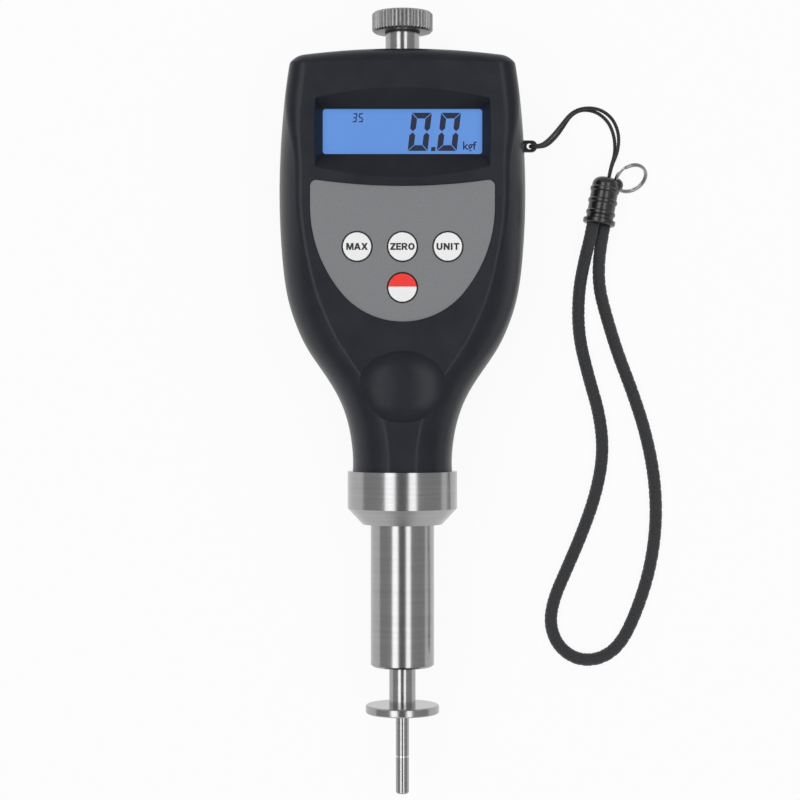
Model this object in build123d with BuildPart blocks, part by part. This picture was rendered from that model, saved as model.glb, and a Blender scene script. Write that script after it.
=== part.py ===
"""Hand-held digital fruit-hardness tester, lying on its back. Millimetres.

+Z is the side with the display, +Y runs from the probe's tip to the stand cap, and the origin is
on the flat back, below the widest station of the housing. The probe's axis lies in the plane where
the two housing shells meet.
"""

import os
from math import cos, pi, radians, sin, sqrt, tan

from build123d import *

os.makedirs("parts", exist_ok=True)

# ---------------------------------------------------------------- driving dimensions

# housing, seen from the front
housing_top_y = 37.3
housing_bottom_y = -73.1
housing_half_width = 32.5
neck_half_width = 13.15
upper_side_radius = 215.0
lower_side_radius = 190.0
shoulder_start = 22.0
shoulder_radius = 50.0
neck_fillet_radius = 38.0
end_crown_radius = 200.0
end_corner_radius = 5.5
end_edge_radius = 4.8
end_margin = 0.1
end_length = 16.5
end_ease_start = 5.0
end_ease_length = 10.5

# housing, thickness
face_height = 28.0
axis_height = 14.75
face_crown_radius = 900.0
neck_back_rise = 1.65
neck_rise_start = -30.0
neck_rise_end = -72.0
back_cut = 0.05
head_flank = 5.5
head_back_flank = 7.0
neck_flank = 9.6
end_flank = 1.2
ridge_radius = 2.5
wall = 2.0
inward_ease = 0.7
station_pitch = 6.5
station_overrun = 5.5
seam_band = 1.0

# display
window_half_width = 20.75
window_top_y = 21.5
window_bottom_y = 9.7
window_corner = 0.8
recess_side_slope = 1.95
recess_top_slope = 2.6
recess_bottom_slope = 4.0
recess_bulge = 2.45
recess_side_bulge = 0.4
recess_depth = 3.6
window_lip = 1.0
window_thickness = 1.0
window_overlap = 1.3
glass_half_width = 22.8
glass_overlap_y = 4.5
glass_thickness = 2.8
glass_ledge = 2.2
backlight_thickness = 2.0
backlight_inset = 0.8
board_thickness = 1.6

# keypad
panel_half_width = 23.9
panel_corner_y = 2.9
panel_top_dip = 1.8
panel_straight_y = -4.0
panel_bottom_y = -34.0
panel_bottom_radius = 20.5
panel_corner_radius = 1.6
panel_thickness = 1.0
panel_sink = 0.5
panel_gap = 0.12
key_radius = 3.67
key_gap = 0.28
key_pitch = 11.75
key_row_y = -14.6
power_key_y = -25.2
key_rise = 0.4
key_travel = 0.7
key_flange = 0.95
key_flange_thickness = 1.2
key_edge = 0.25
keypad_bed = 2.0
key_mat_thickness = 1.0
key_mat_margin = 5.2
key_nub_radius = 1.6
switch_height = 1.0
switch_radius = 2.5
switch_edge = 0.4

# thumb dish
dish_y = -50.85
dish_half_width = 11.6
dish_half_height = 9.3
dish_depth = 2.9

# batteries and their cover
cell_diameter = 10.5
cell_length = 44.5
cell_pitch = 10.8
cell_count = 4
cell_nub_radius = 2.75
cell_nub_length = 1.0
cell_edge = 0.3
cell_gap = 0.15
cover_clearance = 0.6
cell_middle_y = 7.0
cover_thickness = 2.0
cover_gap = 0.15
cover_half_width = 21.5
cover_low_y = -17.0
rail_width = 1.0
rail_thickness = 0.9
rail_drop = 0.3
grip_count = 4
grip_offset = 5.0
grip_pitch = 2.4
grip_length = 16.0
grip_width = 1.1
grip_depth = 0.5
spring_space = 3.0
spring_radius = 3.4
spring_taper = 0.45
spring_turns = 3
plate_thickness = 0.4
plate_size = 8.0
bay_wall = 1.2

# screws
housing_screw_x = 26.0
housing_screw_top_y = 28.0
housing_screw_low_x = 19.5
housing_screw_low_y = -30.0
housing_screw_radius = 1.1
screw_head_radius = 2.3
screw_head_height = 1.4
screw_head_depth = 3.0
screw_head_gap = 0.2
screw_slot_length = 2.2
screw_slot_width = 0.5
screw_slot_depth = 0.8
screw_grip = 2.4
screw_spare = 1.0
boss_radius = 2.8
rear_boss_radius = 4.0
board_screw_x = 20.5
board_screw_top_y = 29.6
board_screw_low_y = -22.6
board_screw_radius = 0.9
board_head_radius = 1.7
board_head_height = 1.1
board_screw_grip = 2.8
board_edge = 2.6
board_gap = 0.6
board_tab_edge = 0.7

# stand post and its screw cap
post_radius = 4.5
post_flange_radius = 6.5
post_flange_thickness = 1.7
post_height = 5.3
stand_thread_radius = 3.0
stand_thread_length = 4.2
stand_thread_chamfer = 0.4
washer_radius = 4.6
washer_thickness = 0.4
cap_radius = 8.0
cap_height = 5.2
cap_roof = 1.0
cap_chamfer = 0.5
knurl_count = 48
knurl_depth = 0.3

# probe
collar_radius = 14.5
collar_length = 9.8
collar_nose_length = 4.2
collar_nose_radius = 10.6
spigot_radius = 9.0
spigot_length = 8.1
spigot_groove = 0.8
spigot_groove_width = 2.0
spigot_groove_offset = 2.6
collar_bore = 6.0
barrel_radius = 8.4
barrel_length = 37.6
barrel_thread_radius = 7.2
barrel_thread_length = 8.1
barrel_bore = 5.6
barrel_edge = 0.5
rod_radius = 3.5
rod_reach = 10.2
bush_length = 10.0
bush_sink = 0.4
running_gap = 0.05
upper_bush_top = 0.9
rod_shoulder_radius = 5.0
rod_shoulder_length = 4.0
load_travel = 0.4
load_spare = 0.05
stop_length = 3.5
stop_gap = 0.5
stud_radius = 2.0
disc_radius = 9.75
disc_thickness = 2.2
disc_edge = 0.3
tip_radius = 1.75
tip_length = 21.3
tip_thread_radius = 1.5
tip_thread_length = 3.8
tip_thread_spare = 1.0
tip_edge = 0.35
depth_mark = 10.0
mark_width = 0.3
mark_depth = 0.12

# load cell on its bracket
cell_body_width = 16.0
cell_body_thickness = 8.0
cell_body_length = 25.6
cell_button_height = 0.4
cell_clearance = 2.0
cell_button_ring = 0.8
cell_slot = 1.2
cell_hole_radius = 3.2
fixing_depth = 5.0
fixing_head_radius = 3.4
fixing_head_height = 2.2
fixing_spare = 0.5
bracket_thickness = 2.5
bracket_half_width = 9.0
bracket_foot_length = 10.0
bracket_foot_height = 3.2
bracket_pad_radius = 3.0
bracket_screw_inset = 4.0
bracket_rise = 2.0

# strap: lug, thin cord, cap, split ring and braided loop
lug_y = 12.95
lug_reach = 3.65
lug_width = 3.1
lug_thickness = 1.6
lug_hole_radius = 0.8
lug_wall = 1.25
lug_edge = 0.25
thin_cord_radius = 0.5
loop_cord_radius = 1.75
cord_cap_radius = 3.65
cord_cap_flange = 4.35
cord_cap_rib = 0.3
cord_cap_edge = 0.3
ring_radius = 4.35
ring_wire_radius = 0.45
ring_channel = 0.2

# ---------------------------------------------------------------- places worked out from them

widest_y = 0.0
recess_floor = face_height - recess_depth
lip_bottom = recess_floor - window_lip
window_bottom = lip_bottom - window_thickness
glass_bottom = window_bottom - glass_thickness
backlight_bottom = glass_bottom - backlight_thickness
board_top = backlight_bottom
board_bottom = board_top - board_thickness
window_middle_y = (window_top_y + window_bottom_y) / 2
window_height = window_top_y - window_bottom_y
panel_top = face_height - panel_sink
panel_floor = panel_top - panel_thickness
bed_bottom = panel_floor - keypad_bed
key_top = panel_top + key_rise
key_bottom = bed_bottom - key_flange_thickness
mat_top = key_bottom - key_travel - running_gap
mat_bottom = mat_top - key_mat_thickness
key_places = {
    "max_key": (-key_pitch, key_row_y),
    "zero_key": (0.0, key_row_y),
    "unit_key": (key_pitch, key_row_y),
    "power_key": (0.0, power_key_y),
}
bay_floor = cover_thickness + cover_gap
cell_axis_z = bay_floor + cell_diameter / 2 + cover_clearance
bay_roof = cell_axis_z + cell_diameter / 2 + cell_gap
cell_low_y = cell_middle_y - cell_length / 2
cell_high_y = cell_middle_y + cell_length / 2
bay_low_y = cell_low_y - spring_space - plate_thickness
bay_high_y = cell_high_y + plate_thickness
bay_half_width = cell_count * cell_pitch / 2
collar_top_y = housing_bottom_y
collar_nose_y = collar_top_y - collar_length
barrel_top_y = collar_nose_y - collar_nose_length
barrel_end_y = barrel_top_y - barrel_length
disc_top_y = barrel_end_y - rod_reach
disc_bottom_y = disc_top_y - disc_thickness
tip_end_y = disc_bottom_y - tip_length
shoulder_low_y = barrel_top_y - upper_bush_top
shoulder_high_y = shoulder_low_y + rod_shoulder_length
stop_low_y = shoulder_high_y + load_travel + load_spare
cell_end_y = collar_top_y + spigot_length + cell_clearance
rod_end_y = cell_end_y - load_travel - load_spare
cell_top_y = cell_end_y + cell_button_height + cell_body_length
post_base_y = housing_top_y - wall
post_top_y = housing_top_y + post_height
cap_low_y = post_top_y + washer_thickness
cap_top_y = cap_low_y + cap_height


def ease(y, start, end):
    """Goes smoothly from 0 at start to 1 at end, and stays there."""
    share = min(max((y - start) / (end - start), 0.0), 1.0)
    return share * share * (3 - 2 * share)


def plan_half_width(y):
    """Half the housing's width: three tangent arcs from the widest station down to the neck."""
    if y >= widest_y:
        return housing_half_width - upper_side_radius + sqrt(upper_side_radius**2 - (y - widest_y) ** 2)
    side_sin = shoulder_start / lower_side_radius
    side_cos = sqrt(1 - side_sin**2)
    drop = housing_half_width - neck_half_width
    arcs = shoulder_radius + neck_fillet_radius
    side_drop = lower_side_radius * (1 - side_cos)
    steep_cos = (side_drop + shoulder_radius * side_cos + neck_fillet_radius - drop) / arcs
    steep_sin = sqrt(1 - steep_cos**2)
    shoulder_y = widest_y - shoulder_start
    steep_y = shoulder_y - shoulder_radius * (steep_sin - side_sin)
    neck_y = steep_y - neck_fillet_radius * steep_sin
    if y >= shoulder_y:
        return housing_half_width - lower_side_radius + sqrt(lower_side_radius**2 - (y - widest_y) ** 2)
    if y >= steep_y:
        here = side_sin + (shoulder_y - y) / shoulder_radius
        side_width = housing_half_width - side_drop
        return side_width - shoulder_radius * (side_cos - sqrt(1 - here**2))
    if y >= neck_y:
        here = (y - neck_y) / neck_fillet_radius
        return neck_half_width + neck_fillet_radius * (1 - sqrt(1 - here**2))
    return neck_half_width


def flank_width(y, head_width):
    """How far inside the outline the ridge beside the face runs."""
    to_neck = ease(y, widest_y, 0.6 * housing_bottom_y)
    to_end = ease(y, widest_y + end_ease_start, housing_top_y - end_ease_length)
    return head_width + (neck_flank - head_width) * to_neck - (head_width - end_flank) * to_end


def housing_section(y, inward):
    """One cross-section of the housing, moved inward by a wall."""
    outline = plan_half_width(y)
    half = outline - inward
    ridge_x = outline - flank_width(y, head_flank) - inward_ease * inward
    ridge_z = face_height - ridge_x**2 / (2 * face_crown_radius) - inward
    back_x = outline - flank_width(y, head_back_flank) - inward_ease * inward
    back_z = neck_back_rise * ease(y, neck_rise_start, neck_rise_end) + inward - back_cut
    band_top = axis_height + seam_band / 2
    band_low = axis_height - seam_band / 2
    to_end = ease(y, widest_y + end_ease_start, housing_top_y - end_ease_length)
    soft = ridge_radius + (end_edge_radius - ridge_radius) * to_end - inward
    with BuildSketch(Plane.XZ.offset(-y)) as section:
        with BuildLine():
            TangentArc((half, band_top), (ridge_x, ridge_z), tangent=(0, 1))
            ThreePointArc((ridge_x, ridge_z), (0, face_height - inward), (-ridge_x, ridge_z))
            TangentArc((-half, band_top), (-ridge_x, ridge_z), tangent=(0, 1))
            Line((-half, band_top), (-half, band_low))
            TangentArc((-half, band_low), (-back_x, back_z), tangent=(0, -1))
            Line((-back_x, back_z), (back_x, back_z))
            TangentArc((half, band_low), (back_x, back_z), tangent=(0, -1))
            Line((half, band_low), (half, band_top))
        make_face()
        fillet(section.vertices().group_by(Axis.Y)[-1], soft)
        fillet(section.vertices().group_by(Axis.Y)[0], soft)
    return section.sketch


def rounded_end(inward):
    """The top end as a block with a crowned end, round corners and round edges."""
    low_y = widest_y + end_ease_start
    top_y = housing_top_y - inward
    spare = end_margin - inward
    low_half = plan_half_width(low_y) + spare
    end_fall = end_crown_radius - sqrt(end_crown_radius**2 - plan_half_width(housing_top_y) ** 2)
    side_y = top_y - end_fall
    top_half = plan_half_width(housing_top_y - end_fall) + spare
    with BuildPart() as block:
        with BuildSketch(Plane.XY.offset(-spare)) as plan:
            with BuildLine():
                ThreePointArc((-top_half, side_y), (0, top_y), (top_half, side_y))
                RadiusArc((top_half, side_y), (low_half, low_y), upper_side_radius)
                Line((low_half, low_y), (-low_half, low_y))
                RadiusArc((-low_half, low_y), (-top_half, side_y), upper_side_radius)
            make_face()
            fillet(plan.vertices().group_by(Axis.Y)[-1], end_corner_radius - inward)
        extrude(amount=face_height + 2 * spare)
        rims = block.faces().filter_by(Axis.Z).edges()
        fillet([edge for edge in rims if edge.center().Y > low_y + end_margin], end_edge_radius - inward)
    return block.part


def housing_form(low_y, inward):
    """The housing's shape, solid, from low_y to the top end, moved inward by a wall."""
    end_y = housing_top_y - end_length
    high_y = housing_top_y + station_overrun
    count = round((high_y - low_y) / station_pitch)
    end_block = rounded_end(inward)
    with BuildPart() as end_waste:
        with Locations((0, end_y, -face_height)):
            Box(
                4 * housing_half_width,
                2 * end_length + station_overrun,
                3 * face_height,
                align=(Align.CENTER, Align.MIN, Align.MIN),
            )
        add(end_block, mode=Mode.SUBTRACT)
    with BuildPart() as form:
        for i in range(count + 1):
            add(housing_section(low_y + (high_y - low_y) * i / count, inward))
        loft()
        add(end_waste.part, mode=Mode.SUBTRACT)
        split(bisect_by=Plane.XY.offset(inward), keep=Keep.TOP)
    return form.part


def panel_outline(grow):
    """The keypad's outline: a dipped top edge, straight sides and a bottom of three tangent arcs."""
    half = panel_half_width + grow
    drop = panel_straight_y - (panel_bottom_y + panel_bottom_radius)
    reach = panel_half_width
    side_radius = (reach**2 + drop**2 - panel_bottom_radius**2) / (2 * (reach - panel_bottom_radius))
    middle_x = reach - side_radius
    away = side_radius - panel_bottom_radius
    join_x = middle_x - middle_x / away * (side_radius + grow)
    join_y = panel_straight_y - drop / away * (side_radius + grow)
    low_y = panel_bottom_y - grow
    top_y = panel_corner_y + grow
    with BuildSketch(Plane.XY) as outline:
        with BuildLine():
            ThreePointArc((-half, top_y), (0, top_y - panel_top_dip), (half, top_y))
            Line((half, top_y), (half, panel_straight_y))
            RadiusArc((half, panel_straight_y), (join_x, join_y), side_radius + grow)
            ThreePointArc((join_x, join_y), (0, low_y), (-join_x, join_y))
            RadiusArc((-join_x, join_y), (-half, panel_straight_y), side_radius + grow)
            Line((-half, panel_straight_y), (-half, top_y))
        make_face()
        fillet(outline.vertices().group_by(Axis.Y)[-1], panel_corner_radius + grow)
    return outline.sketch


def turned(profile):
    """A piece turned about the probe's axis, from (radius, y) corners."""
    with BuildPart() as piece:
        with BuildSketch(Plane(origin=(0, 0, axis_height), x_dir=(1, 0, 0), z_dir=(0, 0, 1))):
            with BuildLine():
                Polyline(*profile, close=True)
            make_face()
        revolve(axis=Axis((0, 0, axis_height), (0, 1, 0)))
    return piece.part


def save(piece, name):
    piece.label = name
    export_step(piece, f"parts/{name}.step")


# ---------------------------------------------------------------- housing

cavity_low_y = collar_top_y + spigot_length
housing = housing_form(housing_bottom_y, 0)
cavity = housing_form(cavity_low_y, wall)

housing_screw_places = [(side * housing_screw_x, housing_screw_top_y) for side in (-1, 1)]
housing_screw_places += [(side * housing_screw_low_x, housing_screw_low_y) for side in (-1, 1)]
board_screw_sides = [(side * board_screw_x, board_screw_top_y) for side in (-1, 1)]
board_screw_places = board_screw_sides + [(side * board_screw_x, board_screw_low_y) for side in (-1, 1)]
dish_plane = Plane(origin=(0, dish_y, face_height))
dish_boss_floor = face_height - dish_depth - wall
frame_half_width = window_half_width + recess_side_slope + wall
frame_top_y = window_top_y + recess_top_slope + recess_bulge + wall
frame_low_y = window_bottom_y - recess_bottom_slope - recess_bulge - wall
standoff_radius = 2 * board_screw_radius

# the collar's spigot and the stand post are gripped between the shells, in seats of their own shape
groove_low_y = collar_top_y + spigot_groove_offset
groove_high_y = groove_low_y + spigot_groove_width
spigot_top_y = collar_top_y + spigot_length
spigot_seat = turned(
    [
        (0, collar_top_y - 1),
        (spigot_radius, collar_top_y - 1),
        (spigot_radius, groove_low_y),
        (spigot_radius - spigot_groove, groove_low_y),
        (spigot_radius - spigot_groove, groove_high_y),
        (spigot_radius, groove_high_y),
        (spigot_radius, spigot_top_y),
        (0, spigot_top_y),
    ]
)
post_seat = turned(
    [
        (0, post_base_y - post_flange_thickness),
        (post_flange_radius, post_base_y - post_flange_thickness),
        (post_flange_radius, post_base_y),
        (post_radius, post_base_y),
        (post_radius, housing_top_y + 1),
        (0, housing_top_y + 1),
    ]
)

# hollow of the front half, with the display frame, keypad bed, dish floor and bosses left standing in it
with BuildPart() as front_hollow:
    add(cavity)
    with BuildSketch(Plane.XY.offset(window_bottom)):
        with Locations((0, (frame_top_y + frame_low_y) / 2)):
            Rectangle(2 * frame_half_width, frame_top_y - frame_low_y)
    extrude(amount=face_height, mode=Mode.SUBTRACT)
    with BuildSketch(Plane.XY.offset(bed_bottom)):
        add(panel_outline(wall))
    extrude(amount=face_height, mode=Mode.SUBTRACT)
    with BuildSketch(Plane.XY.offset(dish_boss_floor)):
        with Locations((0, dish_y)):
            Ellipse(dish_half_width + wall, dish_half_height + wall)
    extrude(amount=face_height, mode=Mode.SUBTRACT)
    with BuildSketch(Plane.XY.offset(axis_height)):
        with Locations(*housing_screw_places):
            Circle(boss_radius)
    extrude(amount=face_height, mode=Mode.SUBTRACT)
    with BuildSketch(Plane.XY.offset(board_top)):
        with Locations(*board_screw_places):
            Circle(standoff_radius)
    extrude(amount=face_height, mode=Mode.SUBTRACT)

# front shell: display recess with sloped walls, keypad recess, key holes and thumb dish
rim_half = window_half_width + recess_side_slope
rim_top_y = window_top_y + recess_top_slope
rim_low_y = window_bottom_y - recess_bottom_slope
dish_steps = 7
dish_start = 10
dish_step = 13
with BuildPart() as front_shell:
    add(housing)
    add(front_hollow.part, mode=Mode.SUBTRACT)
    split(bisect_by=Plane.XY.offset(axis_height), keep=Keep.TOP)
    add(spigot_seat, mode=Mode.SUBTRACT)
    add(post_seat, mode=Mode.SUBTRACT)
    with BuildSketch(Plane.XY.offset(face_height)) as rim:
        with BuildLine():
            ThreePointArc((-rim_half, rim_top_y), (0, rim_top_y + recess_bulge), (rim_half, rim_top_y))
            ThreePointArc(
                (rim_half, rim_top_y),
                (rim_half + recess_side_bulge, window_middle_y),
                (rim_half, rim_low_y),
            )
            ThreePointArc((rim_half, rim_low_y), (0, rim_low_y - recess_bulge), (-rim_half, rim_low_y))
            ThreePointArc(
                (-rim_half, rim_low_y),
                (-rim_half - recess_side_bulge, window_middle_y),
                (-rim_half, rim_top_y),
            )
        make_face()
    with BuildSketch(Plane.XY.offset(recess_floor)):
        with Locations((0, window_middle_y)):
            Rectangle(2 * window_half_width, window_height)
    loft(ruled=True, mode=Mode.SUBTRACT)
    with BuildSketch(Plane.XY.offset(window_bottom)) as opening:
        with Locations((0, window_middle_y)):
            Rectangle(2 * window_half_width, window_height)
        fillet(opening.vertices(), window_corner)
    extrude(amount=window_thickness + window_lip, mode=Mode.SUBTRACT)
    with BuildSketch(Plane.XY.offset(window_bottom)):
        with Locations((0, window_middle_y)):
            Rectangle(2 * (window_half_width + window_overlap), window_height + 2 * window_overlap)
    extrude(amount=window_thickness, mode=Mode.SUBTRACT)
    with BuildSketch(Plane.XY.offset(panel_floor)):
        add(panel_outline(panel_gap))
    extrude(amount=face_height, mode=Mode.SUBTRACT)
    with BuildSketch(Plane.XY.offset(bed_bottom)):
        with Locations(*key_places.values()):
            Circle(key_radius + key_gap)
    extrude(amount=face_height, mode=Mode.SUBTRACT)
    for i in range(dish_steps):
        slope = radians(dish_start + dish_step * i)
        face_slope = radians(dish_start + dish_step)
        share = cos(slope) / cos(face_slope)
        depth = dish_depth * (sin(slope) - sin(face_slope)) / (1 - sin(face_slope))
        with BuildSketch(dish_plane.offset(-depth)):
            Ellipse(dish_half_width * share, dish_half_height * share)
    loft(mode=Mode.SUBTRACT)
    with BuildSketch(Plane.XY.offset(axis_height)):
        with Locations(*housing_screw_places):
            Circle(housing_screw_radius)
    extrude(amount=board_top - axis_height + screw_grip + screw_spare, mode=Mode.SUBTRACT)
    with BuildSketch(Plane.XY.offset(board_top)):
        with Locations(*board_screw_places):
            Circle(board_screw_radius)
    extrude(amount=board_screw_grip + screw_spare, mode=Mode.SUBTRACT)
save(front_shell.part, "front_shell")

# strap lug, a rounded tab with a hole through it, just below the joint between the shells
lug_end_x = plan_half_width(lug_y) + lug_reach
lug_hole_x = lug_end_x - lug_wall - lug_hole_radius
lug_root_x = plan_half_width(lug_y) - wall / 2
lug_round_x = lug_end_x - lug_width / 2
with BuildPart() as lug:
    with BuildSketch(Plane.XY.offset(axis_height - lug_thickness)):
        with Locations(((lug_root_x + lug_round_x) / 2, lug_y)):
            Rectangle(lug_round_x - lug_root_x, lug_width)
        with Locations((lug_round_x, lug_y)):
            Circle(lug_width / 2)
        with Locations((lug_hole_x, lug_y)):
            Circle(lug_hole_radius, mode=Mode.SUBTRACT)
    extrude(amount=lug_thickness)
    fillet(lug.edges().filter_by(GeomType.CIRCLE), lug_edge)

# hollow of the rear half, with the battery bay, screw bosses and the bracket's two pads left standing in it
bay_length = bay_high_y - bay_low_y
bay_middle_y = (bay_high_y + bay_low_y) / 2
bracket_low_y = cell_top_y
bracket_foot_y = bracket_low_y + bracket_thickness + bracket_foot_length / 2
bracket_screw_x = bracket_half_width - bracket_screw_inset
with BuildPart() as rear_hollow:
    add(cavity)
    with BuildSketch(Plane.XY):
        with Locations((0, bay_middle_y)):
            Rectangle(2 * (bay_half_width + bay_wall), bay_length + 2 * bay_wall)
    extrude(amount=bay_roof + bay_wall, mode=Mode.SUBTRACT)
    with BuildSketch(Plane.XY):
        with Locations(*housing_screw_places):
            Circle(rear_boss_radius)
    extrude(amount=axis_height, mode=Mode.SUBTRACT)
    with BuildSketch(Plane.XY):
        with Locations((-bracket_screw_x, bracket_foot_y), (bracket_screw_x, bracket_foot_y)):
            Circle(bracket_pad_radius)
    extrude(amount=bracket_foot_height, mode=Mode.SUBTRACT)

# rear shell: battery bay open through the back and the top end, rail grooves, screw counterbores
cover_room = cover_half_width + cover_gap
cover_room_low_y = cover_low_y - cover_gap
rail_low_z = (cover_thickness - rail_thickness) / 2 + rail_drop
with BuildPart() as rear_shell:
    add(housing)
    add(rear_hollow.part, mode=Mode.SUBTRACT)
    split(bisect_by=Plane.XY.offset(axis_height), keep=Keep.BOTTOM)
    add(lug.part)
    add(spigot_seat, mode=Mode.SUBTRACT)
    add(post_seat, mode=Mode.SUBTRACT)
    with BuildSketch(Plane.XY.offset(bay_floor)):
        with Locations((0, bay_middle_y)):
            Rectangle(2 * bay_half_width, bay_length)
    extrude(amount=bay_roof - bay_floor, mode=Mode.SUBTRACT)
    with Locations((0, cover_room_low_y, -1)):
        Box(
            2 * cover_room,
            housing_top_y - cover_room_low_y + 1,
            bay_floor + 1,
            align=(Align.CENTER, Align.MIN, Align.MIN),
            mode=Mode.SUBTRACT,
        )
    with Locations((0, cover_room_low_y + bay_wall, rail_low_z - cover_gap)):
        Box(
            2 * (cover_room + rail_width),
            housing_top_y - cover_room_low_y,
            rail_thickness + 2 * cover_gap,
            align=(Align.CENTER, Align.MIN, Align.MIN),
            mode=Mode.SUBTRACT,
        )
    with BuildSketch(Plane.XY.offset(-1)):
        with Locations(*housing_screw_places):
            Circle(screw_head_radius + screw_head_gap)
    extrude(amount=screw_head_depth + 1, mode=Mode.SUBTRACT)
    with BuildSketch(Plane.XY.offset(-1)):
        with Locations(*housing_screw_places):
            Circle(housing_screw_radius)
    extrude(amount=axis_height + 2, mode=Mode.SUBTRACT)
    with BuildSketch(Plane.XY.offset(wall)):
        with Locations((-bracket_screw_x, bracket_foot_y), (bracket_screw_x, bracket_foot_y)):
            Circle(housing_screw_radius)
    extrude(amount=bracket_foot_height, mode=Mode.SUBTRACT)
save(rear_shell.part, "rear_shell")

# battery cover: a slice of the housing's back, so it ends in the same rounded end, on two rails
with BuildPart() as battery_cover:
    add(housing)
    with BuildSketch(Plane.XY.offset(-1)):
        with Locations((0, (cover_low_y + housing_top_y + 1) / 2)):
            Rectangle(2 * cover_half_width, housing_top_y + 1 - cover_low_y)
    extrude(amount=cover_thickness + 1, mode=Mode.INTERSECT)
    with Locations((0, cover_low_y + 2 * bay_wall, rail_low_z)):
        Box(
            2 * (cover_half_width + rail_width),
            cell_high_y - cover_low_y,
            rail_thickness,
            align=(Align.CENTER, Align.MIN, Align.MIN),
        )
    with BuildSketch(Plane.XY.offset(-1)):
        with Locations(*[(0, cover_low_y + grip_offset + grip_pitch * i) for i in range(grip_count)]):
            SlotOverall(grip_length, grip_width)
    extrude(amount=grip_depth + 1, mode=Mode.SUBTRACT)
save(battery_cover.part, "battery_cover")

# four screws from the back, in one group
with BuildPart() as housing_screws:
    with BuildSketch(Plane.XY.offset(screw_head_depth)):
        with Locations(*housing_screw_places):
            Circle(housing_screw_radius)
    extrude(amount=board_top + screw_grip - screw_head_depth)
    with BuildSketch(Plane.XY.offset(screw_head_depth - screw_head_height)):
        with Locations(*housing_screw_places):
            Circle(screw_head_radius)
    extrude(amount=screw_head_height)
    with BuildSketch(Plane.XY.offset(screw_head_depth - screw_head_height)):
        with Locations(*housing_screw_places):
            Rectangle(screw_slot_length, screw_slot_width)
            Rectangle(screw_slot_width, screw_slot_length)
    extrude(amount=screw_slot_depth, mode=Mode.SUBTRACT)
save(housing_screws.part, "housing_screws")

# ---------------------------------------------------------------- display

with BuildPart() as display_window:
    with BuildSketch(Plane.XY.offset(window_bottom)):
        with Locations((0, window_middle_y)):
            Rectangle(2 * (window_half_width + window_overlap), window_height + 2 * window_overlap)
    extrude(amount=window_thickness)
save(display_window.part, "display_window")

# the display's two glass plates, the front one shorter so that the lower ledge carries the contacts
glass_height = window_height + 2 * glass_overlap_y
with BuildPart() as display_glass:
    with BuildSketch(Plane.XY.offset(glass_bottom)):
        with Locations((0, window_middle_y)):
            Rectangle(2 * glass_half_width, glass_height)
    extrude(amount=glass_thickness / 2)
    with BuildSketch(Plane.XY.offset(glass_bottom + glass_thickness / 2)):
        with Locations((0, window_middle_y + glass_ledge / 2)):
            Rectangle(2 * glass_half_width, glass_height - glass_ledge)
    extrude(amount=glass_thickness / 2)
save(display_glass.part, "display_glass")

with BuildPart() as backlight:
    with BuildSketch(Plane.XY.offset(backlight_bottom)) as guide:
        with Locations((0, window_middle_y)):
            Rectangle(2 * (glass_half_width - backlight_inset), glass_height - 2 * backlight_inset)
        fillet(guide.vertices(), backlight_inset)
    extrude(amount=backlight_thickness)
save(backlight.part, "backlight")

# ---------------------------------------------------------------- keypad and board

with BuildPart() as keypad_panel:
    with BuildSketch(Plane.XY.offset(panel_floor)):
        add(panel_outline(0))
        with Locations(*key_places.values()):
            Circle(key_radius + key_gap, mode=Mode.SUBTRACT)
    extrude(amount=panel_thickness)
save(keypad_panel.part, "keypad_panel")

for key_name, key_place in key_places.items():
    with BuildPart() as key:
        with BuildSketch(Plane.XY.offset(key_bottom)):
            with Locations(key_place):
                Circle(key_radius + key_flange)
        extrude(amount=key_flange_thickness)
        with BuildSketch(Plane.XY.offset(bed_bottom)):
            with Locations(key_place):
                Circle(key_radius)
        extrude(amount=key_top - bed_bottom)
        fillet(key.edges().group_by(Axis.Z)[-1], key_edge)
    save(key.part, key_name)

# silicone mat: a sheet under the keys, with a nub standing on each dome switch
row_width = 2 * (key_pitch + key_mat_margin)
with BuildPart() as key_mat:
    with BuildSketch(Plane.XY.offset(mat_bottom)) as sheet:
        with Locations((0, key_row_y)):
            Rectangle(row_width, 2 * key_mat_margin)
        with Locations((0, (key_row_y + power_key_y - key_mat_margin) / 2)):
            Rectangle(2 * key_mat_margin, key_row_y - power_key_y + key_mat_margin)
    extrude(amount=key_mat_thickness)
    with BuildSketch(Plane.XY.offset(board_top + switch_height)):
        with Locations(*key_places.values()):
            Circle(key_nub_radius)
    extrude(amount=mat_bottom - board_top - switch_height)
save(key_mat.part, "key_mat")

with BuildPart() as key_switches:
    with BuildSketch(Plane.XY.offset(board_top)):
        with Locations(*key_places.values()):
            Circle(switch_radius)
    extrude(amount=switch_height)
    fillet(key_switches.edges().group_by(Axis.Z)[-1], switch_edge)
save(key_switches.part, "key_switches")

board_half_width = housing_screw_x - boss_radius - board_gap
board_low_y = board_screw_low_y - board_edge
board_high_y = board_screw_top_y + board_edge
board_tab_low_y = power_key_y - switch_radius - board_tab_edge
board_tab_width = 2 * key_mat_margin
with BuildPart() as main_board:
    with BuildSketch(Plane.XY.offset(board_bottom)):
        with Locations((0, (board_low_y + board_high_y) / 2)):
            Rectangle(2 * board_half_width, board_high_y - board_low_y)
        with Locations((0, (board_low_y + board_tab_low_y) / 2)):
            Rectangle(board_tab_width, board_low_y - board_tab_low_y)
        with Locations(*board_screw_places):
            Circle(board_screw_radius, mode=Mode.SUBTRACT)
    extrude(amount=board_thickness)
save(main_board.part, "main_board")

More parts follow.
